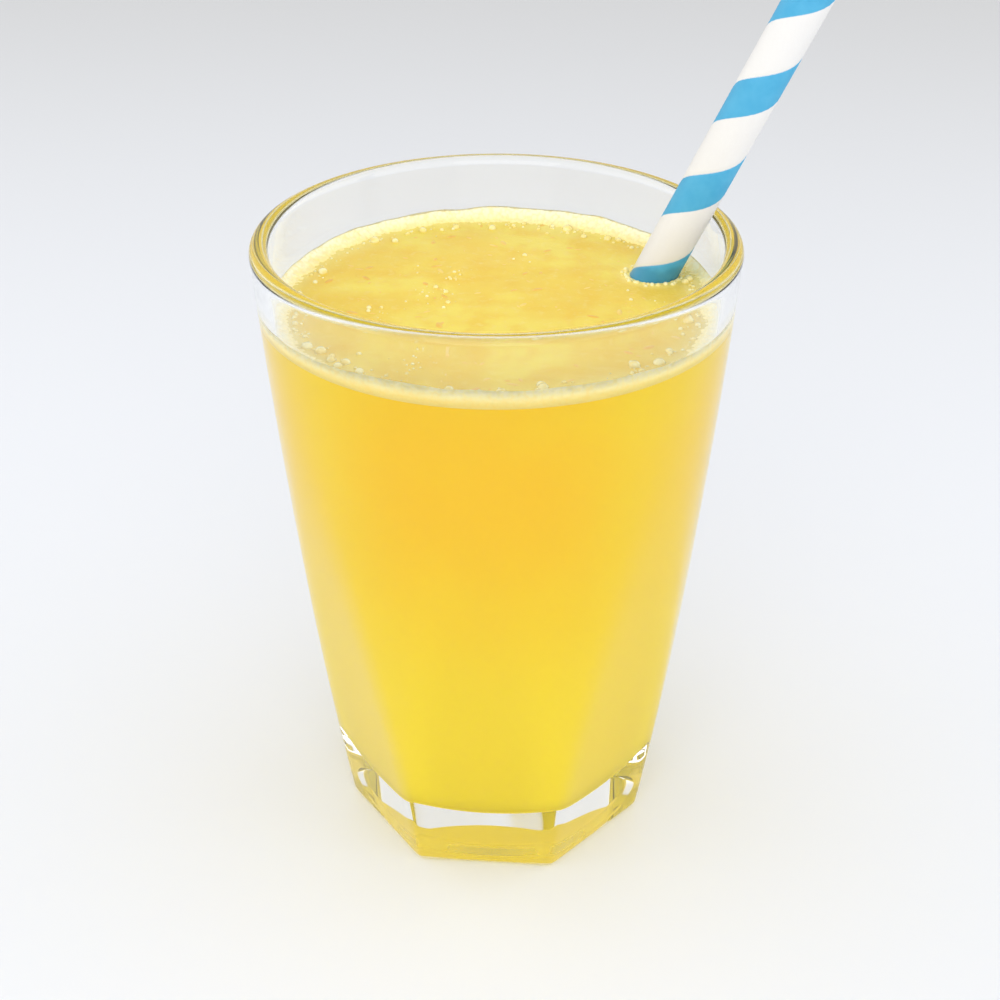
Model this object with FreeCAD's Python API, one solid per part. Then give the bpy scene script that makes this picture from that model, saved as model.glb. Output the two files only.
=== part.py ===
import FreeCAD, Part
import math
import os

# A faceted tumbler of orange juice with a striped paper straw, in millimetres.
#
# +Z is up. The origin is the centre of the flat ring that the glass stands on. The glass is a round
# body of revolution cut by seven leaning flats, so each flat ends in an arch where it runs out into
# the round upper wall. One flat faces -Y, and the straw leans in a plane square to Y.

# Outside of the glass
HEIGHT = 120.5
RIM_RADIUS = 43.0
FOOT_RADIUS = 29.8
BELLY = 1.1                 # how far the side bows outwards half way up
FLATS = 7
FOOT_APOTHEM = 26.7         # centre of the underside to the middle of a flat
ARCH_HEIGHT = 76.5          # where a flat runs out into the round wall
ARRIS_RADIUS = 1.3          # softened edges between the flats and round the foot

# Inside of the glass
FLOOR_HEIGHT = 12.0
FLOOR_RADIUS = 26.2
BORE_BELLY = 2.2            # how far the bore bows outwards half way up
LIP_THICKNESS = 3.4
LIP_ROUNDING = 1.6
FLOOR_FILLET = 8.0

# Shallow recess under the foot, which leaves a flat ring to stand on
RECESS_RADIUS = 21.5
RECESS_CROWN_RADIUS = 18.5
RECESS_DEPTH = 1.8

# Juice
JUICE_LEVEL = 108.2

# Straw
STRAW_DIAMETER = 8.0
STRAW_WALL = 0.4
STRAW_LENGTH = 197.0
STRAW_LEAN = 25.0           # degrees from upright, towards +X
STRAW_Y = 12.6
STRAW_GAP = 0.05            # between the straw and the glass that it leans on

# Sliding the straw into place
SLIDE_ASIDE = 20.0          # furthest that it moves along X, either way
SLIDE_DOWN = 40.0           # furthest that it moves along its own axis
SLIDE_STEPS = 14            # halvings of each slide

# Cutting tools
REACH = 400.0               # longer than anything here
OVERRUN = 5.0               # how far a tool stands out past what it cuts
LEVEL_TOLERANCE = 1e-4      # for telling which edges lie at a height
UP = FreeCAD.Vector(0, 0, 1)
ORIGIN = FreeCAD.Vector(0, 0, 0)


def section_point(radius, height):
    """A point of a half section, which lies in the plane of X and Z."""
    return FreeCAD.Vector(radius, 0, height)


def side_radius(height):
    """Outer radius of the round body: a straight taper that bows out by BELLY half way up."""
    share = height / HEIGHT
    taper = FOOT_RADIUS + (RIM_RADIUS - FOOT_RADIUS) * share
    return taper + 4 * BELLY * share * (1 - share)


def turned(edges):
    """The solid that a closed half section sweeps in one turn about the Z axis."""
    face = Part.Face(Part.Wire(edges))
    return face.revolve(ORIGIN, UP, 360)


def line(start, end):
    """A straight edge."""
    return Part.LineSegment(start, end).toShape()


def arc(start, through, end):
    """A round edge through three points."""
    return Part.Arc(start, through, end).toShape()


def turned_between(low, middle, high):
    """The solid of revolution under an arc through three section points, closed at both ends."""
    low_centre = section_point(0, low.z)
    high_centre = section_point(0, high.z)
    outline = [line(low_centre, low), arc(low, middle, high), line(high, high_centre)]
    outline.append(line(high_centre, low_centre))
    return turned(outline)


def ring_edges(solid, height):
    """The round edges of a solid that lie level at one height."""
    level = []
    for edge in solid.Edges:
        box = edge.BoundBox
        if max(abs(box.ZMin - height), abs(box.ZMax - height)) < LEVEL_TOLERANCE:
            level.append(edge)
    return level


def polygon(apothem, height):
    """Corners of a level regular polygon with the middle of one side towards -Y."""
    corner_radius = apothem / math.cos(math.pi / FLATS)
    corners = []
    for index in range(FLATS):
        turn = -math.pi / 2 + (2 * index + 1) * math.pi / FLATS
        corner = FreeCAD.Vector(math.cos(turn), math.sin(turn), 0) * corner_radius
        corners.append(corner + UP * height)
    return corners


def flats():
    """The tapered prism that the flats lie on, with softened edges."""
    widening = (side_radius(ARCH_HEIGHT) - FOOT_APOTHEM) / ARCH_HEIGHT
    top = HEIGHT + OVERRUN
    low = polygon(FOOT_APOTHEM, 0)
    high = polygon(FOOT_APOTHEM + widening * top, top)
    underside = low[::-1]
    faces = [Part.Face(Part.makePolygon(underside + underside[:1]))]
    faces.append(Part.Face(Part.makePolygon(high + high[:1])))
    for index in range(FLATS):
        after = (index + 1) % FLATS
        corners = [low[index], low[after], high[after], high[index], low[index]]
        faces.append(Part.Face(Part.makePolygon(corners)))
    prism = Part.Solid(Part.Shell(faces))
    soft = [edge for edge in prism.Edges if edge.BoundBox.ZMin < LEVEL_TOLERANCE]
    return prism.makeFillet(ARRIS_RADIUS, soft)


def round_body():
    """The outside of the glass before its flats."""
    low = section_point(FOOT_RADIUS, 0)
    middle = section_point(side_radius(HEIGHT / 2), HEIGHT / 2)
    return turned_between(low, middle, section_point(RIM_RADIUS, HEIGHT))


def cavity():
    """The space inside the glass, with a round corner at its floor."""
    low = section_point(FLOOR_RADIUS, FLOOR_HEIGHT)
    high = section_point(RIM_RADIUS - LIP_THICKNESS, HEIGHT)
    middle = (low + high) * 0.5 + FreeCAD.Vector(BORE_BELLY, 0, 0)
    space = turned_between(low, middle, high)
    return space.makeFillet(FLOOR_FILLET, ring_edges(space, FLOOR_HEIGHT))


def recess():
    """The shallow recess under the foot, with a sloping edge."""
    return Part.makeCone(RECESS_RADIUS, RECESS_CROWN_RADIUS, RECESS_DEPTH)


def glass():
    """The tumbler: round body and flats in common, hollowed, with a rounded lip."""
    body = round_body().common(flats()).cut(cavity()).cut(recess())
    return body.makeFillet(LIP_ROUNDING, ring_edges(body, HEIGHT))


def straw_axis():
    """The way the straw points, from its foot to its mouth."""
    lean = math.radians(STRAW_LEAN)
    return FreeCAD.Vector(math.sin(lean), 0, math.cos(lean))


def slide_clear(rod, obstacle, start, end):
    """The shift between a clear start and a blocked end at which a rod stands STRAW_GAP off."""
    clear, blocked = start, end
    for _ in range(SLIDE_STEPS):
        middle = (clear + blocked) * 0.5
        if rod.translated(middle).distToShape(obstacle)[0] > STRAW_GAP:
            clear = middle
        else:
            blocked = middle
    return clear


def straw_foot(tumbler):
    """Centre of the straw's lower end, where it leans on the lip and stands in the floor's corner."""
    axis = straw_axis()
    radius = STRAW_DIAMETER / 2
    above_floor = FreeCAD.Vector(0, STRAW_Y, FLOOR_HEIGHT + 2 * FLOOR_FILLET)
    upper_part = Part.makeCylinder(radius, STRAW_LENGTH, above_floor, axis)
    furthest = FreeCAD.Vector(SLIDE_ASIDE, 0, 0)
    aside = slide_clear(upper_part, tumbler, -furthest, furthest)
    whole = Part.makeCylinder(radius, STRAW_LENGTH, above_floor + aside, axis)
    down = slide_clear(whole, tumbler, ORIGIN, axis * -SLIDE_DOWN)
    return above_floor + aside + down


def straw(foot):
    """The paper tube, open at both ends."""
    axis = straw_axis()
    radius = STRAW_DIAMETER / 2
    outside = Part.makeCylinder(radius, STRAW_LENGTH, foot, axis)
    bore_length = STRAW_LENGTH + 2 * OVERRUN
    bore = Part.makeCylinder(radius - STRAW_WALL, bore_length, foot - axis * OVERRUN, axis)
    return outside.cut(bore)


def juice(tube):
    """The drink: the cavity up to the level, round the straw and inside it."""
    corner = FreeCAD.Vector(-REACH / 2, -REACH / 2, JUICE_LEVEL)
    above = Part.makeBox(REACH, REACH, REACH, corner)
    return cavity().cut(above).cut(tube)


def save(name, shape):
    """Write one sub-part and print its volume in cubic centimetres."""
    solid = shape.Solids[0]
    print(name, len(shape.Solids), "solid,", solid.isValid(), round(solid.Volume / 1000, 2), "cm3")
    solid.exportStep(os.path.join("parts", name + ".step"))


def main():
    """Build and write the glass, the straw and the juice."""
    os.makedirs("parts", exist_ok=True)
    tumbler = glass()
    foot = straw_foot(tumbler)
    tube = straw(foot)
    print("straw foot", [round(value, 2) for value in foot])
    save("glass", tumbler)
    save("straw", tube)
    save("juice", juice(tube))


main()
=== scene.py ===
"""A faceted tumbler of orange juice with a striped paper straw, in metres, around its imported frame.

The glass, the juice and the straw each stand for the frame's node of the same name. Froth, bubbles
and pulp are further pieces that lie on the juice.
"""

from __future__ import annotations

import logging
import math
from dataclasses import dataclass, field
from enum import Enum
from typing import Union

import bpy
import numpy as np
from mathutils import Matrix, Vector


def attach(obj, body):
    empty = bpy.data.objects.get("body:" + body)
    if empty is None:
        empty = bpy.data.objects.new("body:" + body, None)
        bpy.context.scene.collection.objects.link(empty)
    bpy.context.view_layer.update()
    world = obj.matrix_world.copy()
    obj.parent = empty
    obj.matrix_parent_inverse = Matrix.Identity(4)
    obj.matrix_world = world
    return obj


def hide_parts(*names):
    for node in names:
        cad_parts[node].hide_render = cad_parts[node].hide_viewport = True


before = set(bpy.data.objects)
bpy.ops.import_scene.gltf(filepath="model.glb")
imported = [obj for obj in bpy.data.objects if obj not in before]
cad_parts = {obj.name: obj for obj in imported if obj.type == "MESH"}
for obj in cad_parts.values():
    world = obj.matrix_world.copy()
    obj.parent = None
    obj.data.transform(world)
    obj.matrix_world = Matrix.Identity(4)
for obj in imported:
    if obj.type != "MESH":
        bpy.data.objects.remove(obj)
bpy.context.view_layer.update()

MM = 0.001
FULL_TURN = 2 * math.pi
ROOT = "root"
log = logging.getLogger("juice")

Number = Union[int, float]
Values = Union[float, np.ndarray]
Colour = tuple[float, float, float]


# ---------------------------------------------------------------- shader arithmetic


class Signal:
    """An output socket with arithmetic: each operator adds one Math node to its shader."""

    def __init__(self, shader: "Shader", socket: bpy.types.NodeSocket) -> None:
        """Wrap a socket.

        Args:
            shader: the shader that the socket belongs to.
            socket: the output that carries the value.
        """
        self.shader = shader
        self.socket = socket

    def _with(self, operation: str, *operands: "Signal | Number") -> "Signal":
        """Add a Math node.

        Args:
            operation: the Math node's operation.
            operands: its inputs in order.

        Returns:
            The node's value.
        """
        return self.shader.add("ShaderNodeMath", {"operation": operation}, dict(enumerate(operands)))

    def __add__(self, other: "Signal | Number") -> "Signal":
        """Sum."""
        return self._with("ADD", self, other)

    __radd__ = __add__

    def __sub__(self, other: "Signal | Number") -> "Signal":
        """Difference."""
        return self._with("SUBTRACT", self, other)

    def __rsub__(self, other: Number) -> "Signal":
        """Reflected difference."""
        return self._with("SUBTRACT", other, self)

    def __mul__(self, other: "Signal | Number") -> "Signal":
        """Product."""
        return self._with("MULTIPLY", self, other)

    __rmul__ = __mul__

    def between(self, low: Number, high: Number) -> "Signal":
        """A smooth step: 0 at low, 1 at high.

        Args:
            low: where the step starts.
            high: where it ends, which may be below low.

        Returns:
            The step's value.
        """
        settings = {"interpolation_type": "SMOOTHSTEP"}
        return self.shader.add("ShaderNodeMapRange", settings, {0: self, 1: low, 2: high})


Source = Union[Signal, Number, Colour]


class Shader:
    """The nodes of a material, or of the surroundings, built by expressions."""

    def __init__(self, name: str, surrounds: bool = False) -> None:
        """Start an empty shader.

        Args:
            name: the shader's name.
            surrounds: whether it lights the scene from all round instead of covering a piece.
        """
        home = bpy.data.worlds if surrounds else bpy.data.materials
        self.owner = home.new(name)
        self.owner.use_nodes = True
        self.tree = self.owner.node_tree
        self.tree.nodes.clear()
        self.end = self.tree.nodes.new("ShaderNodeOutputWorld" if surrounds else "ShaderNodeOutputMaterial")

    def add(self, kind: str, settings: dict, sockets: dict, output: "int | str" = 0) -> Signal:
        """Add a node.

        Args:
            kind: the node's type.
            settings: its own settings, which are set first.
            sockets: input names or numbers, and what each is set or linked to; colours have three parts.
            output: the name or number of the output that is wanted.

        Returns:
            That output.
        """
        node = self.tree.nodes.new(kind)
        for key, value in settings.items():
            setattr(node, key, value)
        for key, value in sockets.items():
            if isinstance(value, Signal):
                self.tree.links.new(value.socket, node.inputs[key])
            else:
                node.inputs[key].default_value = (*value, 1.0) if isinstance(value, tuple) else value
        return Signal(self, node.outputs[output])

    def place(self) -> Signal:
        """The point on the piece, in the frame's own coordinates."""
        return self.add("ShaderNodeTexCoord", {}, {}, "Object")

    def axes(self, vector: Signal) -> tuple[Signal, Signal, Signal]:
        """The three parts of a vector."""
        first = self.add("ShaderNodeSeparateXYZ", {}, {0: vector}, 0)
        outputs = first.socket.node.outputs
        return first, Signal(self, outputs[1]), Signal(self, outputs[2])

    def attribute(self, name: str) -> Signal:
        """A number that the mesh carries at each point."""
        return self.add("ShaderNodeAttribute", {"attribute_name": name}, {}, "Fac")

    def noise(self, vector: Signal, size: float, detail: float = 2.0, roughness: float = 0.5) -> Signal:
        """Cloudy noise.

        Args:
            vector: where it is read.
            size: the width of its clouds in metres.
            detail: how many finer layers it has.
            roughness: how strong they are.

        Returns:
            A value about one half.
        """
        sockets = {"Vector": vector, "Scale": 1 / size, "Detail": detail, "Roughness": roughness}
        return self.add("ShaderNodeTexNoise", {}, sockets)

    def cells(self, vector: Signal, size: float) -> Signal:
        """Distance to the nearest of scattered points.

        Args:
            vector: where it is read.
            size: the mean spacing of the points in metres.

        Returns:
            The distance as a share of the spacing.
        """
        sockets = {"Vector": vector, "Scale": 1 / size}
        return self.add("ShaderNodeTexVoronoi", {"feature": "F1"}, sockets, "Distance")

    def mix(self, share: Source, low: Source, high: Source) -> Signal:
        """Blend two colours.

        Args:
            share: 0 gives low, and 1 gives high.
            low: a colour.
            high: a colour.

        Returns:
            The blended colour.
        """
        return self.add("ShaderNodeMix", {"data_type": "RGBA"}, {0: share, 6: low, 7: high}, 2)

    def bump(self, height: Signal, strength: float, distance: float) -> Signal:
        """A normal that a height field tilts.

        Args:
            height: the field.
            strength: 0 to 1.
            distance: metres that a height of one stands for.

        Returns:
            The normal.
        """
        sockets = {"Strength": strength, "Distance": distance, "Height": height}
        return self.add("ShaderNodeBump", {}, sockets)

    def finish(self, surface: Signal) -> bpy.types.ID:
        """Join a surface to the output and give back what owns the nodes."""
        self.tree.links.new(surface.socket, self.end.inputs["Surface"])
        return self.owner

    def principled(self, **sockets: Source) -> Signal:
        """Add the main shader; a name's underscores stand for spaces."""
        named = {name.replace("_", " ").title().replace("Ior", "IOR"): sockets[name] for name in sockets}
        return self.add("ShaderNodeBsdfPrincipled", {}, named)


# ---------------------------------------------------------------- finishes


@dataclass(frozen=True)
class ClearGlass:
    """Pressed soda glass: clear, polished, and faintly uneven from its mould."""

    tint: Colour = (0.992, 0.998, 0.994)
    index: float = 1.5
    ripple_size: float = 14 * MM
    ripple_height: float = 0.05 * MM
    ripple_strength: float = 0.6

    def material(self) -> bpy.types.Material:
        """Build the material."""
        shader = Shader("clear_glass")
        ripples = shader.noise(shader.place(), self.ripple_size, 1.0)
        normal = shader.bump(ripples, self.ripple_strength, self.ripple_height)
        glass = shader.principled(
            base_color=self.tint,
            roughness=0.0,
            ior=self.index,
            transmission_weight=1.0,
            normal=normal,
        )
        return shader.finish(glass)


@dataclass(frozen=True)
class CloudyJuice:
    """Cloudy orange juice: golden high in the body, with painted light turning it lemon low down and at its
    sides, and mottled on its open surface.
    """

    deep: Colour = (0.98, 0.62, 0.004)
    # low is the paler lemon painted in where light from the floor and through the edges brightens the body
    low: Colour = (0.97, 0.76, 0.014)
    top: Colour = (0.85, 0.61, 0.075)
    fleck: Colour = (0.83, 0.53, 0.042)
    lemon: Colour = (0.89, 0.74, 0.12)
    froth: Colour = (0.93, 0.80, 0.27)
    # painted glow: emission in place of light that passes through the drink, stronger on the underside
    painted_glow_side: Colour = (0.09, 0.07, 0.0)
    painted_glow_below: Colour = (0.34, 0.27, 0.045)
    middle_half: float = 8 * MM
    pale_lit_sides_from: float = 26 * MM
    cloud_size: float = 16 * MM
    underside_depth: float = 1.6 * MM
    underside_edge: float = 0.2 * MM
    grain_size: float = 1.5 * MM
    mottle_size: float = 6 * MM
    drift_size: float = 22 * MM
    relief_height: float = 0.25 * MM

    def side_material(self, level: float, floor: float) -> bpy.types.Material:
        """Build the material behind the glass: golden high up, lemon near the floor, faintly clouded.

        The lemon near the floor and towards the sides is painted light, for light from the floor and through
        the drink's edges. The gold is deepest within middle_half of the upright plane x = 0, and weakest
        from pale_lit_sides_from on. A faint painted glow on the side, and a stronger one on the underside,
        stand for light through the drink.

        Args:
            level: the height of the juice's surface.
            floor: the height of its underside.

        Returns:
            The material.
        """
        shader = Shader("juice_side")
        place = shader.place()
        across, _, height = shader.axes(place)
        # painted light: the gold fades to lemon towards the sides and low down
        middle = (across * across).between(self.pale_lit_sides_from**2, self.middle_half**2)
        golden = height.between(0.35 * level, 0.85 * level) * (0.4 + 0.6 * middle)
        colour = shader.mix(golden, self.low, self.deep)
        clouds = shader.noise(place, self.cloud_size, 2.0)
        colour = shader.mix(clouds.between(0.45, 0.75) * 0.25, colour, self.low)
        # painted glow mask: strongest on the underside
        painted_glow_underside = height.between(floor + self.underside_depth, floor + self.underside_edge)
        body = shader.principled(
            base_color=colour,
            roughness=0.35,
            specular_ior_level=0.0,
            emission_color=shader.mix(painted_glow_underside, self.painted_glow_side, self.painted_glow_below),
            emission_strength=1.0,
        )
        return shader.finish(body)

    def top_material(self, froth_name: str) -> bpy.types.Material:
        """Build the material of the open surface: mottled with pulp, frothy at its edges, and wet.

        Args:
            froth_name: the attribute that says how frothy a point is.

        Returns:
            The material.
        """
        shader = Shader("juice_top")
        place = shader.place()
        grain = shader.noise(place, self.grain_size, 3.0, 0.6)
        mottle = shader.noise(place, self.mottle_size, 4.0, 0.65)
        drifts = shader.noise(place, self.drift_size, 2.0)
        top = shader.mix(drifts.between(0.45, 0.62) * 0.7, self.top, self.lemon)
        top = shader.mix(mottle.between(0.42, 0.66) * 0.6, top, self.fleck)
        top = shader.mix(grain.between(0.48, 0.75) * 0.3, top, self.froth)
        body = shader.principled(
            base_color=shader.mix(shader.attribute(froth_name), top, self.froth),
            roughness=0.35,
            specular_ior_level=0.0,
            coat_weight=0.8,
            coat_roughness=0.12,
            coat_ior=1.33,
            normal=shader.bump(grain + mottle, 0.5, self.relief_height),
        )
        return shader.finish(body)


@dataclass(frozen=True)
class FrothFoam:
    """Froth: fine wet bubbles, palest where it thins out up the wall and yellower in its hollows."""

    pale: Colour = (0.95, 0.92, 0.66)
    rich: Colour = (0.96, 0.81, 0.30)
    hollow: Colour = (0.95, 0.73, 0.20)
    # painted glow: emission in place of light on the froth, stronger where it lies against the glass
    glow: Colour = (0.06, 0.055, 0.03)
    painted_glow_at_glass: Colour = (0.18, 0.15, 0.03)
    bubble_size: float = 0.75 * MM
    patch_size: float = 4 * MM
    dimple_depth: float = 0.12 * MM

    def material(self, rise_name: str, at_glass_name: str) -> bpy.types.Material:
        """Build the material, with a faint painted glow in place of light, stronger against the glass.

        Args:
            rise_name: the attribute that goes from 0 in the juice to 1 at the froth's upper edge.
            at_glass_name: the attribute that is 1 where the froth lies against the glass.

        Returns:
            The material.
        """
        shader = Shader("froth_foam")
        place = shader.place()
        cells = shader.cells(place, self.bubble_size)
        patches = shader.noise(place, self.patch_size, 3.0)
        body = shader.mix(shader.attribute(rise_name).between(0.2, 1.0), self.rich, self.pale)
        gaps = cells.between(0.35, 0.85) * 0.4 + patches.between(0.45, 0.7) * 0.2
        foam = shader.principled(
            base_color=shader.mix(gaps, body, self.hollow),
            roughness=0.3,
            specular_ior_level=0.35,
            # painted glow in place of light, stronger against the glass
            emission_color=shader.mix(shader.attribute(at_glass_name), self.glow, self.painted_glow_at_glass),
            emission_strength=1.0,
            normal=shader.bump(1 - cells, 0.5, self.dimple_depth),
        )
        return shader.finish(foam)


@dataclass(frozen=True)
class BubbleSkin:
    """The thin wet skin of a larger bubble."""

    tint: Colour = (0.93, 0.86, 0.46)
    clear: Colour = (0.90, 0.74, 0.24)
    hue_size: float = 1.2 * MM

    def material(self) -> bpy.types.Material:
        """Build the material."""
        shader = Shader("bubble_skin")
        hue = shader.noise(shader.place(), self.hue_size, 1.0)
        skin = shader.principled(
            base_color=shader.mix(hue.between(0.35, 0.65), self.tint, self.clear),
            roughness=0.12,
            ior=1.33,
            coat_weight=0.6,
            coat_roughness=0.06,
        )
        return shader.finish(skin)


@dataclass(frozen=True)
class PulpFlesh:
    """Juice sacs: soft, moist and a little deeper in colour than the juice round them."""

    pale: Colour = (0.90, 0.64, 0.13)
    deep: Colour = (0.84, 0.47, 0.045)
    hue_size: float = 4 * MM

    def material(self) -> bpy.types.Material:
        """Build the material."""
        shader = Shader("pulp_flesh")
        hue = shader.noise(shader.place(), self.hue_size, 2.0)
        flesh = shader.principled(
            base_color=shader.mix(hue.between(0.35, 0.65), self.pale, self.deep),
            roughness=0.35,
            specular_ior_level=0.3,
            coat_weight=0.4,
            coat_roughness=0.15,
            coat_ior=1.33,
        )
        return shader.finish(flesh)


@dataclass(frozen=True)
class StripedPaper:
    """White rolled paper with one printed spiral stripe, matt, fibrous, and wet near the juice."""

    paper: Colour = (0.71, 0.70, 0.69)
    ink: Colour = (0.055, 0.34, 0.57)
    faded: Colour = (0.12, 0.45, 0.67)
    light_fibre: Colour = (0.75, 0.75, 0.74)
    soaked_paper: Colour = (0.70, 0.66, 0.36)
    soaked_ink: Colour = (0.03, 0.20, 0.34)
    stripe_share: float = 0.41
    edge: float = 0.012
    raggedness: float = 0.01
    fibre_size: float = 0.5 * MM
    fibre_height: float = 0.06 * MM
    blotch_size: float = 3 * MM
    wet_stray: float = 3 * MM
    wet_fade: float = 1.5 * MM

    def material(self, turn_name: str, inside_name: str, wet_height: float) -> bpy.types.Material:
        """Build the material.

        Args:
            turn_name: the attribute that gives each point's place across the rolled strip, 0 to 1.
            inside_name: the attribute that is 1 on the bore.
            wet_height: how high the juice has soaked.

        Returns:
            The material.
        """
        shader = Shader("striped_paper")
        place = shader.place()
        across = shader.attribute(turn_name)
        inside = shader.attribute(inside_name)
        fibres = shader.noise(place, self.fibre_size, 4.0, 0.7)
        ragged = across + (fibres - 0.5) * self.raggedness
        far_edge = ragged.between(self.stripe_share + self.edge, self.stripe_share)
        stripe = ragged.between(0.0, self.edge) * far_edge * (1 - inside)
        blotches = shader.noise(place, self.blotch_size, 3.0)
        ink = shader.mix(blotches.between(0.3, 0.7) * 0.3, self.ink, self.faded)
        paper = shader.mix(fibres.between(0.4, 0.8) * 0.3, self.paper, self.light_fibre)
        colour = shader.mix(stripe, paper, ink)
        height = shader.axes(place)[2]
        shore = height + (blotches - 0.5) * self.wet_stray
        wet = shore.between(wet_height + self.wet_fade, wet_height)
        colour = shader.mix(wet * 0.5, colour, shader.mix(stripe, self.soaked_paper, self.soaked_ink))
        sheet = shader.principled(
            base_color=colour,
            roughness=0.62 - 0.3 * wet,
            specular_ior_level=0.35,
            normal=shader.bump(fibres, 0.35, self.fibre_height),
        )
        return shader.finish(sheet)


@dataclass(frozen=True)
class PaleTable:
    """The plain pale surface that the glass stands on, with painted shade that greys it towards its far end.
    """

    # near and far paint the lamp's falloff as shade; near's bluish tint offsets the juice's warm bounce
    # light
    near: Colour = (0.81, 0.828, 0.87)
    far: Colour = (0.58, 0.58, 0.582)
    painted_shade_span: tuple[float, float] = (0.0, 0.8)

    def material(self) -> bpy.types.Material:
        """Build the material."""
        shader = Shader("pale_table_painted_falloff")
        # painted shade: greyer with distance along y, in place of the lamp's falloff
        away = shader.axes(shader.place())[1].between(*self.painted_shade_span)
        colour = shader.mix(away, self.near, self.far)
        return shader.finish(shader.principled(base_color=colour, roughness=0.6, specular_ior_level=0.3))


# ---------------------------------------------------------------- meshes


class Winding(Enum):
    """How the first and last rows of a grid are closed."""

    POLES = "a point at each end"
    LOOP = "the last row meets the first"


def smooth_object(name: str, points: np.ndarray, faces: np.ndarray) -> bpy.types.Object:
    """Make a smooth-shaded object at the origin.

    Args:
        name: the piece's name.
        points: (count, 3) places in metres.
        faces: (count, 4) corner numbers; a triangle repeats its last corner.

    Returns:
        The object, linked to the scene.
    """
    mesh = bpy.data.meshes.new(name)
    is_triangle = faces[:, 2] == faces[:, 3]
    sides = np.where(is_triangle, 3, 4)
    keep = np.ones(faces.shape, bool)
    keep[is_triangle, 3] = False
    corners = faces[keep]
    starts = np.concatenate([[0], np.cumsum(sides)[:-1]])
    mesh.vertices.add(len(points))
    mesh.vertices.foreach_set("co", points.astype(np.float32).ravel())
    mesh.loops.add(len(corners))
    mesh.loops.foreach_set("vertex_index", corners.astype(np.int32))
    mesh.polygons.add(len(faces))
    mesh.polygons.foreach_set("loop_start", starts.astype(np.int32))
    mesh.polygons.foreach_set("use_smooth", np.ones(len(faces), bool))
    mesh.update(calc_edges=True)
    mesh.validate()
    piece = bpy.data.objects.new(name, mesh)
    bpy.context.scene.collection.objects.link(piece)
    return piece


def grid_faces(rows: int, columns: int, loop_rows: bool) -> np.ndarray:
    """Quads of a grid whose columns always close.

    Rows run along the profile and columns turn anticlockwise seen from above, so that each quad
    (row, column), (row, column + 1), (row + 1, column + 1), (row + 1, column) faces outwards.

    Args:
        rows: number of rows.
        columns: number of columns.
        loop_rows: whether the last row also joins the first.

    Returns:
        (count, 4) corner numbers.
    """
    row = np.arange(rows if loop_rows else rows - 1)
    column = np.arange(columns)
    row, column = np.meshgrid(row, column, indexing="ij")
    after = (column + 1) % columns
    above = (row + 1) % rows
    quads = np.stack(
        [row * columns + column, row * columns + after, above * columns + after, above * columns + column],
        axis=-1,
    )
    return quads.reshape(-1, 4)


def capped_faces(rows: int, columns: int) -> np.ndarray:
    """Faces of a grid between two poles, whose points come after its own: the first row's, then the last's.

    Args:
        rows: number of rows between the poles.
        columns: number of columns.

    Returns:
        (count, 4) corner numbers: the fan at the first row, the grid row by row, the fan at the last row.
    """
    column = np.arange(columns)
    after = (column + 1) % columns
    first_pole, last_pole, last_row = rows * columns, rows * columns + 1, (rows - 1) * columns
    first_fan = np.stack([np.full(columns, first_pole), after, column, column], axis=-1)
    last_fan = np.stack([last_row + column, last_row + after, *[np.full(columns, last_pole)] * 2], axis=-1)
    return np.concatenate([first_fan, grid_faces(rows, columns, False), last_fan])


def turned_piece(name: str, points: np.ndarray, winding: Winding) -> bpy.types.Object:
    """Make a piece from a grid of rows along a profile and columns round an axis.

    Args:
        name: the piece's name.
        points: (rows, columns, 3) places. With poles, every point of the first and last row is the same.
        winding: how the rows end.

    Returns:
        The object.
    """
    rows, columns = points.shape[:2]
    if winding is Winding.LOOP:
        return smooth_object(name, points.reshape(-1, 3), grid_faces(rows, columns, True))
    places = np.concatenate([points[1:-1].reshape(-1, 3), points[:1, 0], points[-1:, 0]])
    return smooth_object(name, places, capped_faces(rows - 2, columns))


def even_turns(columns: int) -> np.ndarray:
    """(1, columns) angles evenly round the upright."""
    return (np.arange(columns) * FULL_TURN / columns)[None, :]


def polar(radius: np.ndarray, turn: np.ndarray, *height: np.ndarray) -> np.ndarray:
    """Places at a radius and a turn about the upright, with a height where one is given."""
    return np.stack([radius * np.cos(turn), radius * np.sin(turn), *height], axis=-1)


def bowed(share: Values, low: float, high: float, belly: float) -> Values:
    """A radius that goes from low to high along a share of 0 to 1, plus a bow that is belly half way."""
    return low + (high - low) * share + 4 * belly * share * (1 - share)


def carry(piece: bpy.types.Object, name: str, values: np.ndarray) -> None:
    """Store one number at each point of a piece.

    Args:
        piece: the object.
        name: the attribute's name.
        values: one value for each point.
    """
    layer = piece.data.attributes.new(name, "FLOAT", "POINT")
    layer.data.foreach_set("value", values.astype(np.float32).ravel())


def soft_least(first: np.ndarray, second: np.ndarray, width: float) -> np.ndarray:
    """The smaller of two values, rounded where they are within a width of each other.

    With n = max(width - |first - second|, 0) / width it is min(first, second) - n squared * width / 4.

    Args:
        first: values.
        second: values.
        width: where the rounding starts.

    Returns:
        The rounded minimum.
    """
    near = np.maximum(width - np.abs(first - second), 0) / width
    return np.minimum(first, second) - near**2 * width / 4


def arc_points(
    centre: tuple[float, float], radius: float, start: float, end: float, count: int
) -> np.ndarray:
    """Points of a profile's round stretch.

    Args:
        centre: radius and height of the arc's centre.
        radius: its own radius.
        start: first angle in radians, from level outwards.
        end: last angle.
        count: number of points.

    Returns:
        (count, 2) radii and heights.
    """
    angle = np.linspace(start, end, count)
    return np.stack([centre[0] + radius * np.cos(angle), centre[1] + radius * np.sin(angle)], axis=-1)


# ---------------------------------------------------------------- the glass


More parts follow.
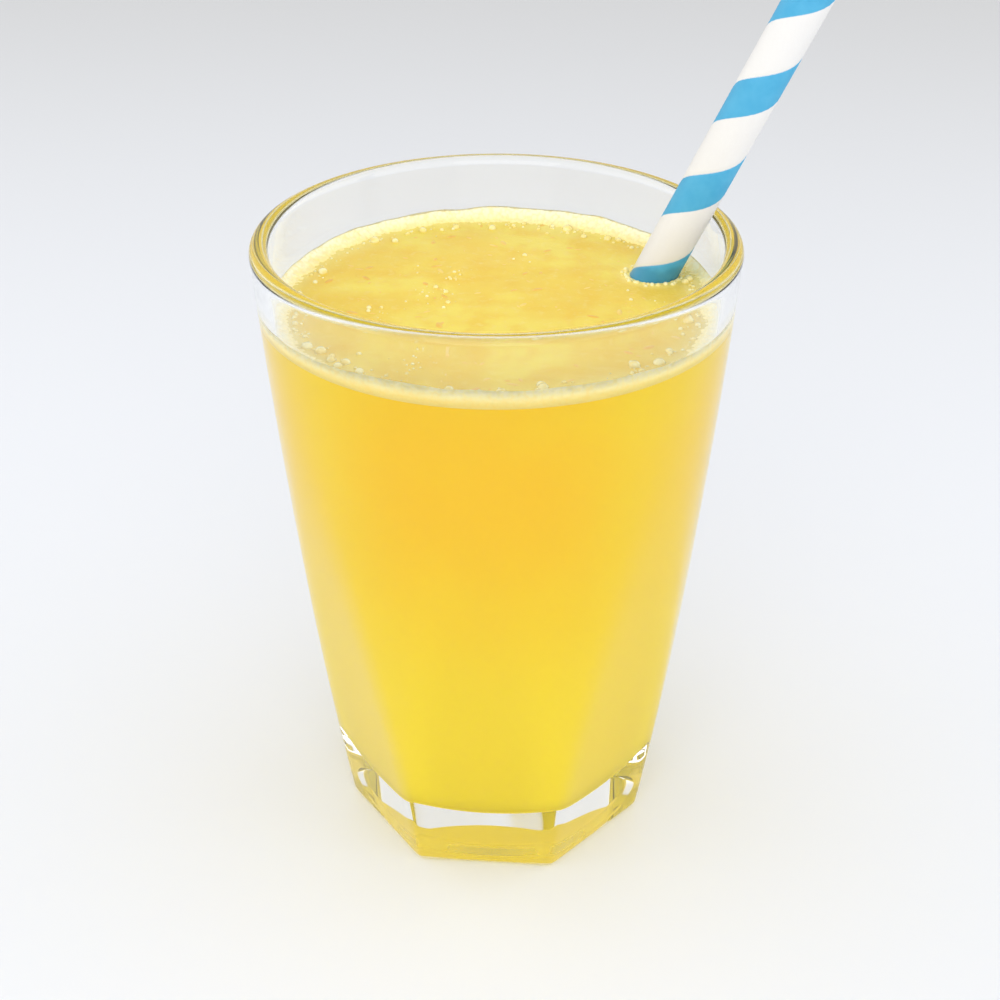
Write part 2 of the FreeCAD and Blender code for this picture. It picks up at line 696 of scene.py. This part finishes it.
@dataclass
class Tumbler:
    """The glass: a round, slightly bowed body that seven leaning flats cut, with a thick floor."""

    height: float = 120.5 * MM
    rim_radius: float = 43.0 * MM
    foot_radius: float = 29.8 * MM
    belly: float = 1.1 * MM
    flats: int = 7
    foot_apothem: float = 26.7 * MM
    arch_height: float = 76.5 * MM
    arris_width: float = 0.55 * MM
    arch_width: float = 1.0 * MM
    heel_radius: float = 1.3 * MM
    floor_height: float = 12.0 * MM
    floor_radius: float = 26.2 * MM
    bore_belly: float = 2.2 * MM
    lip_thickness: float = 3.4 * MM
    floor_fillet: float = 8.0 * MM
    recess_radius: float = 21.5 * MM
    recess_crown_radius: float = 18.5 * MM
    recess_depth: float = 1.8 * MM
    recess_rounding: float = 0.4 * MM
    columns_per_flat: int = 44
    side_rows: int = 110
    bore_rows: int = 70
    finish: ClearGlass = field(default_factory=ClearGlass)

    def side_radius(self, height: Values) -> Values:
        """Outer radius of the round body."""
        return bowed(height / self.height, self.foot_radius, self.rim_radius, self.belly)

    def bore_radius(self, height: Values) -> Values:
        """Inner radius, between the floor and the lip."""
        share = (height - self.floor_height) / (self.height - self.floor_height)
        return bowed(share, self.floor_radius, self.rim_radius - self.lip_thickness, self.bore_belly)

    def turns(self) -> np.ndarray:
        """Angles of the columns: t - 0.7 sin(2 pi t) / (2 pi) of each flat, so they crowd at its arrises."""
        count = self.flats * self.columns_per_flat
        share = np.arange(count) / self.columns_per_flat
        crowded = share - 0.7 * np.sin(FULL_TURN * share) / FULL_TURN
        return -math.pi / 2 + (crowded + 0.5) * FULL_TURN / self.flats

    def section(self, height: np.ndarray, turn: np.ndarray) -> np.ndarray:
        """Outer radius of the cut body: the rounded least of the round body and the two nearest flats.

        A flat at apothem a has radius a / cos(angle from its middle).

        Args:
            height: (rows, 1) heights.
            turn: (1, columns) angles.

        Returns:
            (rows, columns) radii.
        """
        step = FULL_TURN / self.flats
        off_middle = np.abs((turn + math.pi / 2 + step / 2) % step - step / 2)
        widening = (self.side_radius(self.arch_height) - self.foot_apothem) / self.arch_height
        apothem = self.foot_apothem + widening * height
        nearest, next_one = apothem / np.cos(off_middle), apothem / np.cos(step - off_middle)
        flats = soft_least(nearest, next_one, self.arris_width)
        return soft_least(self.side_radius(height), flats, self.arch_width)

    def bore_profile(self, top: float, rows: int) -> np.ndarray:
        """Radii and heights down the bore from a height, round the floor's corner, to the axis.

        The corner is an arc that touches the sloping wall and the level floor.

        Args:
            top: where the profile starts.
            rows: number of points on the wall.

        Returns:
            (count, 2) radii and heights, without the point on the axis.
        """
        rise = (self.bore_radius(self.floor_height + MM) - self.floor_radius) / MM
        slant = math.hypot(1, rise)
        fillet = self.floor_fillet
        centre = (self.floor_radius + rise * fillet - fillet * slant, self.floor_height + fillet)
        touch = centre[1] - fillet * rise / slant
        heights = np.linspace(top, touch, rows)
        wall = np.stack([self.bore_radius(heights), heights], axis=-1)
        corner = arc_points(centre, fillet, -math.atan(rise), -math.pi / 2, 16)
        wall[-1] = corner[0]
        inwards = np.linspace(centre[0], centre[0] / 8, 9)[1:]
        floor = np.stack([inwards, np.full(8, self.floor_height)], axis=-1)
        return np.concatenate([wall, corner[1:], floor])

    def recess(self) -> tuple[np.ndarray, np.ndarray]:
        """Half section of the recess under the foot, from its middle to the ring that the glass stands on.

        Its height is the rounded least of the depth and a straight slope up from the ring.

        Returns:
            (rows, 1) radii and heights.
        """
        crown = self.recess_crown_radius
        slope_start = 0.95 * crown
        level_part = np.linspace(0, slope_start, 6)
        slope_part = np.linspace(slope_start, self.recess_radius, 16)[1:]
        radius = np.concatenate([level_part, slope_part])[:, None]
        slope = self.recess_depth / (self.recess_radius - crown)
        rise = (self.recess_radius - radius) * slope
        return radius, soft_least(rise, np.full_like(rise, self.recess_depth), self.recess_rounding)

    def outside(self, turn: np.ndarray) -> tuple[np.ndarray, np.ndarray]:
        """Underside, heel and side up to the lip.

        Args:
            turn: (1, columns) angles.

        Returns:
            (rows, columns) radii and (rows, columns) heights.
        """
        recess_radius, recess_height = self.recess()
        even = np.ones_like(turn)
        angle = np.linspace(0, math.pi / 2, 9)[:, None]
        heel_height = self.heel_radius * (1 - np.cos(angle))
        heel_radius = self.section(heel_height, turn) - self.heel_radius * (1 - np.sin(angle))
        ring_share = np.linspace(0, 1, 5)[1:-1, None]
        ring_radius = self.recess_radius + (heel_radius[:1] - self.recess_radius) * ring_share
        side_top = self.height - self.lip_thickness / 2
        side_height = np.linspace(self.heel_radius, side_top, self.side_rows)[1:, None]
        radii = [recess_radius * even, ring_radius, heel_radius, self.section(side_height, turn)]
        heights = [recess_height * even, 0 * ring_radius, heel_height * even, side_height * even]
        return np.concatenate(radii), np.concatenate(heights)

    def build(self) -> bpy.types.Object:
        """Make the glass as one closed shell.

        The profile runs from the middle of the recess, over the side and the round lip, and down the bore
        to the middle of the floor.
        """
        turn = self.turns()[None, :]
        outer_radius, outer_height = self.outside(turn)
        lip_height = self.height - self.lip_thickness / 2
        inner, outer = self.bore_radius(lip_height), self.side_radius(lip_height)
        lip = arc_points(((inner + outer) / 2, lip_height), (outer - inner) / 2, 0, math.pi, 19)[1:-1]
        bore = self.bore_profile(lip_height, self.bore_rows)
        rest = np.concatenate([lip, bore, [[0, self.floor_height]]])
        even = np.ones_like(turn)
        radius = np.concatenate([outer_radius, rest[:, :1] * even])
        height = np.concatenate([outer_height, rest[:, 1:] * even])
        piece = turned_piece("tumbler", polar(radius, turn, height), Winding.POLES)
        piece.data.materials.append(self.finish.material())
        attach(piece, ROOT)
        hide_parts("glass")
        return piece


# ---------------------------------------------------------------- the straw


@dataclass
class Straw:
    """The paper tube: a strip rolled in a spiral, whose edge shows as a fine step along the stripe."""

    diameter: float = 8.0 * MM
    wall: float = 0.4 * MM
    length: float = 197.0 * MM
    lean: float = math.radians(25.0)
    foot: Vector = field(default_factory=lambda: Vector((-16.42 * MM, 12.6 * MM, 13.74 * MM)))
    pitch: float = 19.2 * MM
    stripe_turn: float = 0.088
    seam_depth: float = 0.07 * MM
    seam_width: float = 0.35 * MM
    columns: int = 96
    rows: int = 260
    finish: StripedPaper = field(default_factory=StripedPaper)

    def axis(self) -> np.ndarray:
        """Unit vector from the foot to the mouth."""
        return np.array([math.sin(self.lean), 0, math.cos(self.lean)])

    def centre_at(self, height: float) -> np.ndarray:
        """Where the straw's axis passes a height."""
        return np.array(self.foot) + self.axis() * (height - self.foot.z) / math.cos(self.lean)

    def across_strip(self) -> np.ndarray:
        """Places of the columns across the strip, 0 to 1.

        They are t - 0.8 sin(2 pi t) / (2 pi), which crowds them at the seam.
        """
        share = np.arange(self.columns) / self.columns
        return share - 0.8 * np.sin(FULL_TURN * share) / FULL_TURN

    def build(self, wet_height: float) -> bpy.types.Object:
        """Make the straw.

        A point across the strip at u and along the tube at w lies at the angle 2 pi (u + w / pitch), so
        the columns follow the spiral. Its radius dips by seam_depth next to the seam at u = 0.

        Args:
            wet_height: how high the juice has soaked.

        Returns:
            The object.
        """
        radius = self.diameter / 2
        across = self.across_strip()[None, :]
        edge = self.wall / 2
        inside_edge = radius - self.wall
        along_up = np.linspace(edge, self.length - edge, self.rows)
        top = arc_points((radius - edge, self.length - edge), edge, 0, math.pi, 7)[1:-1]
        bottom = arc_points((radius - edge, edge), edge, math.pi, FULL_TURN, 7)[1:-1]
        profile = np.concatenate([
            np.stack([np.full(self.rows, radius), along_up], axis=-1),
            top,
            np.stack([np.full(self.rows, inside_edge), along_up[::-1]], axis=-1),
            bottom,
        ])
        slope = math.atan(self.pitch / (math.pi * self.diameter))
        off_seam = np.minimum(across, 1 - across) * self.pitch * math.cos(slope)
        dip = self.seam_depth * np.exp(-((off_seam / self.seam_width) ** 2))
        outer = profile[:, :1] > radius - edge
        ring_radius = profile[:, :1] - dip * outer
        along = profile[:, 1:]
        turn = FULL_TURN * (across + self.stripe_turn + along / self.pitch)
        sideways = np.array([math.cos(self.lean), 0, -math.sin(self.lean)])
        depth = np.array([0, 1, 0])
        points = (
            np.array(self.foot)
            + along[..., None] * self.axis()
            + (ring_radius * np.cos(turn))[..., None] * sideways
            + (ring_radius * np.sin(turn))[..., None] * depth
        )
        piece = turned_piece("straw_tube", points, Winding.LOOP)
        carry(piece, "across_strip", np.broadcast_to(across, points.shape[:2]))
        carry(piece, "in_bore", np.broadcast_to(profile[:, :1] < radius - edge, points.shape[:2]))
        piece.data.materials.append(self.finish.material("across_strip", "in_bore", wet_height))
        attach(piece, ROOT)
        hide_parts("straw")
        return piece


# ---------------------------------------------------------------- the juice


@dataclass
class Juice:
    """The drink: it fills the bore up to its level and climbs a little at the wall and round the straw."""

    tumbler: Tumbler
    straw: Straw
    level: float = 108.2 * MM
    into_wall: float = 0.15 * MM
    climb: float = 0.3 * MM
    climb_width: float = 1.0 * MM
    straw_climb: float = 0.2 * MM
    straw_climb_width: float = 0.9 * MM
    ripple_height: float = 0.05 * MM
    froth_width: float = 3.4 * MM
    straw_froth: float = 0.9
    straw_froth_width: float = 1.5 * MM
    columns: int = 256
    wall_rows: int = 60
    top_rows: int = 90
    finish: CloudyJuice = field(default_factory=CloudyJuice)

    def wall_radius(self) -> float:
        """Radius of the bore at the juice's level."""
        return self.tumbler.bore_radius(self.level)

    def from_straw(self, x: np.ndarray, y: np.ndarray) -> np.ndarray:
        """Distance outside the ellipse in which the straw passes the level."""
        centre = self.straw.centre_at(self.level)
        across = (x - centre[0]) * math.cos(self.straw.lean)
        return np.hypot(across, y - centre[1]) - self.straw.diameter / 2

    def surface_height(self, x: np.ndarray, y: np.ndarray) -> np.ndarray:
        """Height of the top: level, plus a climb that fades from the wall and from the straw.

        Each climb is its height times exp(-distance / width). The wall's climb varies round the glass by
        a few slow waves, as froth leaves it, and the top has faint ripples.

        Args:
            x: places.
            y: places.

        Returns:
            Heights of the same shape.
        """
        radius = np.hypot(x, y)
        turn = np.arctan2(y, x)
        slow_waves = 0.12 * np.sin(3 * turn + 0.4) + 0.08 * np.sin(7 * turn + 2.0)
        uneven = 1 + slow_waves + 0.05 * np.sin(17 * turn + 1.0)
        at_wall = self.climb * uneven * np.exp(-(self.wall_radius() - radius) / self.climb_width)
        off_straw = np.maximum(self.from_straw(x, y), 0)
        at_straw = self.straw_climb * np.exp(-off_straw / self.straw_climb_width)
        ripples = np.sin(x / (3.1 * MM) + 1.3 * np.sin(y / (4.3 * MM))) * np.sin(y / (2.7 * MM) + 0.5)
        return self.level + at_wall + at_straw + self.ripple_height * ripples

    def froth_share(self, x: np.ndarray, y: np.ndarray) -> np.ndarray:
        """How frothy the top is: 1 at the wall and the straw, fading inwards unevenly."""
        turn = np.arctan2(y, x)
        width = self.froth_width * (1 + 0.25 * np.sin(5 * turn + 1.1) + 0.15 * np.sin(11 * turn))
        at_wall = np.exp(-(((self.wall_radius() - np.hypot(x, y)) / width) ** 2))
        at_straw = self.straw_froth * np.exp(-((self.from_straw(x, y) / self.straw_froth_width) ** 2))
        return np.clip(np.maximum(at_wall, at_straw), 0, 1)

    def build(self) -> bpy.types.Object:
        """Make the juice as one closed shell that reaches into_wall into the glass.

        Its last rows are the open surface, which has its own finish.
        """
        turn = even_turns(self.columns)
        wall = self.tumbler.bore_profile(self.level, self.wall_rows)[::-1]
        wall_radius = wall[:, :1] + self.into_wall
        wall_height = wall[:, 1:] - self.into_wall * (wall[:, 1:] < self.tumbler.floor_height + MM)
        edge = self.wall_radius() + self.into_wall
        share = np.linspace(0, 1, self.top_rows)[:, None]
        top_radius = edge * (1 - share**1.6)
        even = np.ones_like(turn)
        radius = np.concatenate([0 * even, wall_radius * even, top_radius * even])
        x, y = radius * np.cos(turn), radius * np.sin(turn)
        height = np.concatenate([
            (self.tumbler.floor_height - self.into_wall) * even,
            wall_height * even,
            self.surface_height(x[-self.top_rows:], y[-self.top_rows:]),
        ])
        on_top = np.arange(len(x)) >= len(x) - self.top_rows
        froth = self.froth_share(x, y) * on_top[:, None]
        piece = turned_piece("juice_body", np.stack([x, y, height], axis=-1), Winding.POLES)
        ring = froth[1:-1].ravel()
        carry(piece, "froth", np.concatenate([ring, froth[:1, 0], froth[-1:, 0]]))
        piece.data.materials.append(self.finish.side_material(self.level, self.tumbler.floor_height))
        piece.data.materials.append(self.finish.top_material("froth"))
        finish_numbers = np.repeat(on_top[:-1].astype(np.int32), self.columns)
        piece.data.polygons.foreach_set("material_index", finish_numbers)
        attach(piece, ROOT)
        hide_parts("juice")
        return piece


# ---------------------------------------------------------------- froth and pulp


@dataclass
class FrothRing:
    """The band of froth on the wall: it climbs above the juice, reaches just below it and thins inwards."""

    juice: Juice
    climb: float = 2.3 * MM
    side_dip: float = 0.4
    width: float = 3.2 * MM
    sunk: float = 1.2 * MM
    into_wall: float = 0.2 * MM
    bubble_size: float = 0.9 * MM
    bubble_height: float = 0.4 * MM
    hollowness: float = 2.4
    inner_dip: float = 0.25 * MM
    columns: int = 1400
    slope_rows: int = 26
    seed: int = 11
    finish: FrothFoam = field(default_factory=FrothFoam)

    def waves(self, turn: np.ndarray, strength: float, draw: np.random.Generator) -> np.ndarray:
        """Uneven waves round the ring: 1 plus strength times sines whose size falls with their number."""
        number = np.arange(2, 40)[:, None]
        phase = draw.uniform(0, FULL_TURN, number.shape)
        size = draw.normal(0, 1, number.shape) / number**0.7
        return 1 + strength * (size * np.sin(number * turn + phase)).sum(axis=0, keepdims=True)

    def domes(self, along: np.ndarray, across: np.ndarray, draw: np.random.Generator) -> np.ndarray:
        """Relief of packed bubbles over a strip that closes on itself along its length.

        The strip is divided into unit squares with one bubble in each, off its middle and of its own
        radius. The relief is the greatest root of (radius squared - distance squared) over the nine
        nearest squares, and 0 between bubbles.

        Args:
            along: places along the strip, in bubble sizes, up to a whole number round it.
            across: places across it, in bubble sizes.
            draw: where the random places and radii come from.

        Returns:
            Relief in bubble sizes.
        """
        around = int(round(float(along.max()) + 0.5))
        rows = int(math.ceil(float(across.max()))) + 3
        shift = draw.uniform(0.1, 0.9, (around, rows, 2))
        radius = draw.uniform(0.3, 0.75, (around, rows))
        cell_along, cell_across = np.floor(along).astype(int), np.floor(across).astype(int)
        relief = np.zeros(along.shape)
        for step_along in (-1, 0, 1):
            for step_across in (-1, 0, 1):
                column, row = cell_along + step_along, cell_across + step_across
                at = (column % around, row + 1)
                off_along = along - column - shift[at][..., 0]
                off_across = across - row - shift[at][..., 1]
                inside = radius[at] ** 2 - off_along**2 - off_across**2
                relief = np.maximum(relief, np.sqrt(np.maximum(inside, 0)))
        return relief

    def build(self) -> bpy.types.Object:
        """Make the ring as one closed band round the wall.

        Its slope falls from the wall as climb times (1 - share) to the power of hollowness, where share runs
        from 0 at the wall to 1 at its inner edge, and bubbles stand out of it inwards and upwards alike. The
        climb is lower at the two sides, by side_dip times the squared cosine of the turn.
        """
        draw = np.random.default_rng(self.seed)
        juice, tumbler = self.juice, self.juice.tumbler
        turn = even_turns(self.columns)
        share = np.linspace(0, 1, self.slope_rows)[:, None]
        climb = self.climb * self.waves(turn, 0.09, draw) * (1 - self.side_dip * np.cos(turn) ** 2)
        width = self.width * self.waves(turn, 0.16, draw)
        bubbles_round = round(FULL_TURN * juice.wall_radius() / self.bubble_size)
        along = np.broadcast_to(turn * bubbles_round / FULL_TURN, (self.slope_rows, self.columns))
        across = share * np.hypot(climb, width) / self.bubble_size
        relief = self.bubble_height * self.domes(along, across, draw) * np.sin(math.pi * share) ** 0.5
        slope = climb * (1 - share) ** self.hollowness - self.inner_dip * share
        height = juice.level + slope + relief * math.sqrt(0.5)
        at_wall = tumbler.bore_radius(juice.level + slope) + self.into_wall
        radius = at_wall - (width + self.into_wall) * share - relief * math.sqrt(0.5)
        low = juice.level - self.sunk
        low_wall = tumbler.bore_radius(low) + self.into_wall
        even = np.ones_like(turn)
        radius = np.concatenate([low_wall * even, radius, (radius[-1:] + low_wall) / 2])
        height = np.concatenate([low * even, height, low * even])
        piece = turned_piece("froth_ring", polar(radius, turn, height), Winding.LOOP)
        rise = np.concatenate([[[0.0]], 1 - share, [[0.0]]]) * even
        at_glass = (np.arange(len(rise)) < 2)[:, None] * even
        carry(piece, "froth_rise", rise)
        carry(piece, "froth_at_glass", at_glass)
        piece.data.materials.append(self.finish.material("froth_rise", "froth_at_glass"))
        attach(piece, ROOT)
        return piece


@dataclass
class Scatter:
    """Many small closed shapes joined in one mesh, each a squeezed sphere set on the juice."""

    juice: Juice
    seed: int = 7
    rings: int = 5
    ring_points: int = 12

    def ball(self) -> tuple[np.ndarray, np.ndarray]:
        """Places and faces of a unit sphere of rings with a point at each pole."""
        rows, columns = self.rings, self.ring_points
        tilt = np.linspace(-math.pi / 2, math.pi / 2, rows + 2)[1:-1, None]
        turn = even_turns(columns)
        ring = polar(np.cos(tilt), turn, np.sin(tilt) + 0 * turn)
        places = np.concatenate([ring.reshape(-1, 3), [[0, 0, -1], [0, 0, 1]]])
        return places, capped_faces(rows, columns)

    def joined(
        self, name: str, centres: np.ndarray, sizes: np.ndarray, headings: np.ndarray
    ) -> bpy.types.Object:
        """Repeat the sphere at many places in one mesh.

        Args:
            name: the piece's name.
            centres: (count, 3) places.
            sizes: (count, 3) half sizes along, across and up.
            headings: (count,) turns about the upright.

        Returns:
            The object.
        """
        places, faces = self.ball()
        scaled = places[None] * sizes[:, None, :]
        cos, sin = np.cos(headings)[:, None], np.sin(headings)[:, None]
        x = scaled[..., 0] * cos - scaled[..., 1] * sin
        y = scaled[..., 0] * sin + scaled[..., 1] * cos
        points = np.stack([x, y, scaled[..., 2]], axis=-1) + centres[:, None, :]
        shift = (np.arange(len(centres)) * len(places))[:, None, None]
        return smooth_object(name, points.reshape(-1, 3), (faces[None] + shift).reshape(-1, 4))

    def clear_of_straw(self, x: np.ndarray, y: np.ndarray, room: np.ndarray) -> np.ndarray:
        """Which places are outside the straw by at least their own size."""
        return self.juice.from_straw(x, y) > room


@dataclass
class Bubbles(Scatter):
    """Larger bubbles: a broken fringe inside the froth ring, a collar on the straw and a few islands."""

    at_wall: int = 260
    at_straw: int = 70
    loose: int = 110
    islands: int = 14
    fringe: float = 3.0 * MM
    island_reach: float = 1.6 * MM
    finish: BubbleSkin = field(default_factory=BubbleSkin)

    def build(self) -> bpy.types.Object:
        """Make the bubbles as half-sunk domes."""
        draw = np.random.default_rng(self.seed)
        wall = self.juice.wall_radius()
        turn = draw.uniform(0, FULL_TURN, self.at_wall)
        ring_size = draw.gamma(2.2, 0.16, self.at_wall).clip(0.14, 1.0) * MM
        ring_radius = wall - self.fringe - draw.exponential(1.0 * MM, self.at_wall)
        ring = polar(ring_radius, turn)
        centre = self.juice.straw.centre_at(self.juice.level)[:2]
        collar_turn = draw.uniform(0, FULL_TURN, self.at_straw)
        collar_size = draw.uniform(0.15, 0.5, self.at_straw) * MM
        reach = self.juice.straw.diameter / 2 + collar_size + draw.exponential(0.3 * MM, self.at_straw)
        stretch = 1 / math.cos(self.juice.straw.lean)
        collar = polar(reach, collar_turn) * [stretch, 1] + centre
        island = draw.integers(0, self.islands, self.loose)
        middle_turn = draw.uniform(0, FULL_TURN, self.islands)[island]
        middle_radius = (wall * np.sqrt(draw.uniform(0, 0.85, self.islands)))[island]
        loose = polar(middle_radius, middle_turn) + draw.normal(0, self.island_reach, (self.loose, 2))
        loose_size = draw.gamma(2.0, 0.1, self.loose).clip(0.1, 0.5) * MM
        flat = np.concatenate([ring, collar, loose])
        size = np.concatenate([ring_size, collar_size, loose_size])
        inside = np.hypot(flat[:, 0], flat[:, 1]) + size < wall + 0.05 * MM
        keep = inside & self.clear_of_straw(flat[:, 0], flat[:, 1], size * 0.8)
        flat, size = flat[keep], size[keep]
        height = self.juice.surface_height(flat[:, 0], flat[:, 1]) + 0.1 * size
        centres = np.column_stack([flat, height])
        sizes = np.column_stack([size, size, size * 0.85])
        piece = self.joined("froth_bubbles", centres, sizes, np.zeros(len(size)))
        piece.data.materials.append(self.finish.material())
        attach(piece, ROOT)
        return piece


@dataclass
class Pulp(Scatter):
    """Juice sacs that float just under the surface and lift it."""

    count: int = 130
    off_wall: float = 2.5 * MM
    finish: PulpFlesh = field(default_factory=PulpFlesh)

    def build(self) -> bpy.types.Object:
        """Make the pulp as flat spindles, mostly sunk."""
        draw = np.random.default_rng(self.seed + 1)
        wall = self.juice.wall_radius()
        radius = (wall - self.off_wall) * np.sqrt(draw.uniform(0, 1, self.count))
        turn = draw.uniform(0, FULL_TURN, self.count)
        x, y = radius * np.cos(turn), radius * np.sin(turn)
        half_length = draw.gamma(4.0, 0.22, self.count).clip(0.35, 1.8) * MM
        half_width = half_length * draw.uniform(0.3, 0.55, self.count)
        half_height = half_width * 0.4
        keep = self.clear_of_straw(x, y, half_length)
        height = self.juice.surface_height(x, y) - 0.7 * half_height
        centres = np.column_stack([x, y, height])[keep]
        sizes = np.column_stack([half_length, half_width, half_height])[keep]
        heading = draw.uniform(0, math.pi, self.count)[keep]
        piece = self.joined("pulp_sacs", centres, sizes, heading)
        piece.data.materials.append(self.finish.material())
        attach(piece, ROOT)
        return piece


# ---------------------------------------------------------------- studio


@dataclass(frozen=True)
class Softbox:
    """A large flat lamp."""

    name: str
    place: tuple[float, float, float]
    aim: tuple[float, float, float]
    size: tuple[float, float]
    power: float

    def build(self) -> bpy.types.Object:
        """Hang the lamp and turn it to its aim."""
        lamp = bpy.data.lights.new(self.name, "AREA")
        lamp.shape = "RECTANGLE"
        lamp.size, lamp.size_y = self.size
        lamp.energy = self.power
        holder = bpy.data.objects.new(self.name, lamp)
        holder.location = self.place
        holder.rotation_euler = (Vector(self.aim) - Vector(self.place)).to_track_quat("-Z", "Y").to_euler()
        bpy.context.scene.collection.objects.link(holder)
        return holder


@dataclass
class Studio:
    """Floor, lamps, surroundings and camera."""

    floor_drop: float = 0.1 * MM
    floor_half: float = 4.0
    front_tone: Colour = (0.78, 0.78, 0.78)
    side_tone: Colour = (1.0, 1.0, 1.0)
    back_tone: Colour = (0.43, 0.432, 0.435)
    zenith_tone: Colour = (0.42, 0.425, 0.43)
    brightness: float = 1.92
    focal_share: float = 1.748
    camera_distance: float = 330.9 * MM
    camera_elevation: float = math.radians(30.4)
    camera_azimuth: float = math.radians(4.8)
    aim_height: float = 66.8 * MM
    aim_aside: float = 0.62 * MM
    lamps: tuple[Softbox, ...] = (
        Softbox("key_lamp", (0.0, -0.75, 0.5), (0, 0, 0.05), (0.8, 0.8), 2.0),
    )

    def floor(self) -> None:
        """Lay the pale surface a hair under the foot, so that the underside keeps its film of air."""
        signs = np.array([[-1, -1], [1, -1], [1, 1], [-1, 1]])
        corners = np.column_stack([signs * self.floor_half, np.full(4, -self.floor_drop)])
        piece = smooth_object("table", corners, np.array([[0, 1, 2, 3]]))
        piece.data.materials.append(PaleTable().material())

    def surround(self) -> None:
        """Light the scene from all round: brightest at both sides, softer overhead, greyer behind."""
        shader = Shader("surroundings", surrounds=True)
        direction = shader.add("ShaderNodeTexCoord", {}, {}, "Generated")
        across, depth, height = shader.axes(direction)
        tone = shader.mix(depth.between(-0.3, 0.95), self.front_tone, self.back_tone)
        tone = shader.mix((across * across).between(0.25, 0.75), tone, self.side_tone)
        tone = shader.mix(height.between(0.3, 0.95), tone, self.zenith_tone)
        light = shader.add("ShaderNodeBackground", {}, {"Color": tone, "Strength": self.brightness})
        bpy.context.scene.world = shader.finish(light)

    def camera(self) -> None:
        """Set the camera to look down on the glass from the front."""
        lens = bpy.data.cameras.new("camera")
        lens.sensor_width = 36.0
        lens.lens = lens.sensor_width * self.focal_share
        holder = bpy.data.objects.new("camera", lens)
        away = Vector((math.sin(self.camera_azimuth), -math.cos(self.camera_azimuth), 0))
        right = Vector((math.cos(self.camera_azimuth), math.sin(self.camera_azimuth), 0))
        aim = right * self.aim_aside + Vector((0, 0, self.aim_height))
        height = Vector((0, 0, math.sin(self.camera_elevation)))
        holder.location = aim + (away * math.cos(self.camera_elevation) + height) * self.camera_distance
        holder.rotation_euler = (aim - holder.location).to_track_quat("-Z", "Y").to_euler()
        bpy.context.scene.collection.objects.link(holder)
        bpy.context.scene.camera = holder

    def build(self) -> None:
        """Set up everything that isn't part of the object."""
        bpy.context.scene.view_settings.view_transform = "Standard"
        self.floor()
        self.surround()
        for lamp in self.lamps:
            lamp.build()
        self.camera()


def main() -> None:
    """Build every piece in order and report it."""
    logging.basicConfig(level=logging.INFO, format="%(message)s")
    Studio().build()
    tumbler = Tumbler()
    straw = Straw()
    juice = Juice(tumbler, straw)
    pieces = [
        tumbler.build(),
        juice.build(),
        straw.build(juice.level + 2 * MM),
        FrothRing(juice).build(),
        Bubbles(juice).build(),
        Pulp(juice).build(),
    ]
    for piece in pieces:
        log.info("%s: %d points, %d faces", piece.name, len(piece.data.vertices), len(piece.data.polygons))


if __name__ == "__main__":
    main()
